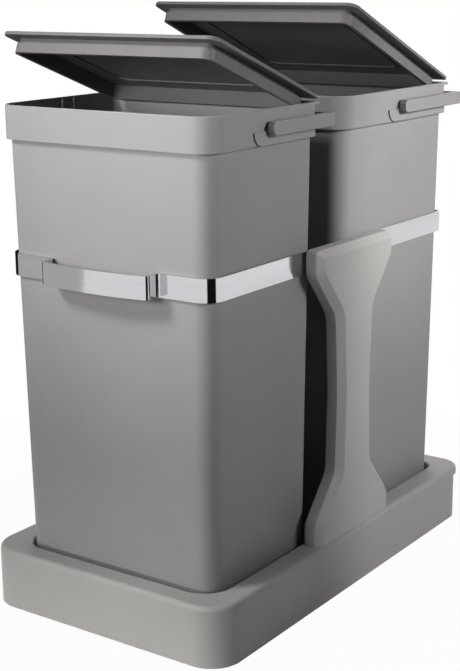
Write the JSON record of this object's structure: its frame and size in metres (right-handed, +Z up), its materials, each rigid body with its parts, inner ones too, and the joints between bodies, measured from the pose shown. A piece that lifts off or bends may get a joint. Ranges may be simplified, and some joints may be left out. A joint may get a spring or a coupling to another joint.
{
  "type": "pull-out waste bin unit",
  "caption": "Pull-out cabinet waste unit: tray on ball slides carrying lidded buckets with bail handles, held by a chromed band with a bowed pull handle.",
  "frame": {"origin": "on the cabinet floor, at the centre of the four floor-screw holes", "axes": "+Z up, -Y towards the user (the pull handle), +X to the right side"},
  "size_m": [0.256, 0.437, 0.5273],
  "materials": {
    "tray_plastic": "fine moulded texture",
    "bucket_plastic": "satin moulded",
    "lid_plastic": "satin moulded",
    "handle_plastic": "fine moulded texture",
    "post_plastic": "fine moulded texture",
    "band_chrome": "bright chromed steel",
    "slide_steel": "zinc-plated rolled steel",
    "rail_steel": "zinc-plated sheet steel",
    "ball_steel": "polished bearing steel",
    "fastener_steel": "zinc-plated"
  },
  "bodies": {
    "base": {"floor_rail_left": "rail_steel", "floor_rail_right": "rail_steel", "cross_strap_front": "rail_steel", "cross_strap_rear": "rail_steel", "strap_rivets": "fastener_steel", "slide_rivets": "fastener_steel", "slide_outer_left": "slide_steel", "slide_outer_right": "slide_steel"},
    "middle_slides": {"slide_middle_left": "slide_steel", "slide_middle_right": "slide_steel"},
    "outer_cages": {"outer_cage_left": "slide_steel", "outer_cage_right": "slide_steel", "outer_balls_left": "ball_steel", "outer_balls_right": "ball_steel"},
    "inner_cages": {"inner_cage_left": "slide_steel", "inner_cage_right": "slide_steel", "inner_balls_left": "ball_steel", "inner_balls_right": "ball_steel"},
    "carriage": {"base_tray": "tray_plastic", "slide_inner_left": "slide_steel", "slide_inner_right": "slide_steel", "slide_screws": "fastener_steel", "post_core_left": "rail_steel", "post_core_right": "rail_steel", "post_cover_left": "post_plastic", "post_cover_right": "post_plastic", "post_screws": "fastener_steel", "front_band": "band_chrome", "rear_band": "band_chrome", "band_rivets": "fastener_steel"},
    "front_bin": {"front_bucket": "bucket_plastic", "front_hinge_pins": "fastener_steel"},
    "front_cover": {"front_lid": "lid_plastic"},
    "front_handle": {"front_bail": "handle_plastic"},
    "rear_bin": {"rear_bucket": "bucket_plastic", "rear_hinge_pins": "fastener_steel"},
    "rear_cover": {"rear_lid": "lid_plastic"},
    "rear_handle": {"rear_bail": "handle_plastic"}
  },
  "joints": [
    {"name": "pull_out", "type": "slide", "parent": "base", "child": "carriage", "axis": [0, -1, 0], "range_m": [0, 0.38]},
    {"name": "middle_run", "type": "slide", "parent": "base", "child": "middle_slides", "axis": [0, -1, 0], "range_m": [0, 0.19]},
    {"name": "outer_cage_run", "type": "slide", "parent": "base", "child": "outer_cages", "axis": [0, -1, 0], "range_m": [0, 0.095]},
    {"name": "inner_cage_run", "type": "slide", "parent": "base", "child": "inner_cages", "axis": [0, -1, 0], "range_m": [0, 0.285]},
    {"name": "front_lift_out", "type": "slide", "parent": "carriage", "child": "front_bin", "axis": [0, 0, 1], "range_m": [0, 0.34]},
    {"name": "front_lid_hinge", "type": "hinge", "parent": "front_bin", "child": "front_cover", "pos_m": [0, -0.042, 0.451], "axis": [-1, 0, 0], "range_deg": [-20.5, 62]},
    {"name": "front_handle_hinge", "type": "hinge", "parent": "front_bin", "child": "front_handle", "pos_m": [0, -0.10925, 0.4332], "axis": [1, 0, 0], "range_deg": [0, 90]},
    {"name": "rear_lift_out", "type": "slide", "parent": "carriage", "child": "rear_bin", "axis": [0, 0, 1], "range_m": [0, 0.34]},
    {"name": "rear_lid_hinge", "type": "hinge", "parent": "rear_bin", "child": "rear_cover", "pos_m": [0, 0.195, 0.451], "axis": [-1, 0, 0], "range_deg": [-22.5, 62]},
    {"name": "rear_handle_hinge", "type": "hinge", "parent": "rear_bin", "child": "rear_handle", "pos_m": [0, 0.109, 0.4332], "axis": [1, 0, 0], "range_deg": [0, 90]}
  ],
  "couplings": [
    {"joint": "middle_run", "follows": "pull_out", "ratio": 0.5},
    {"joint": "outer_cage_run", "follows": "pull_out", "ratio": 0.25},
    {"joint": "inner_cage_run", "follows": "pull_out", "ratio": 0.75}
  ]
}
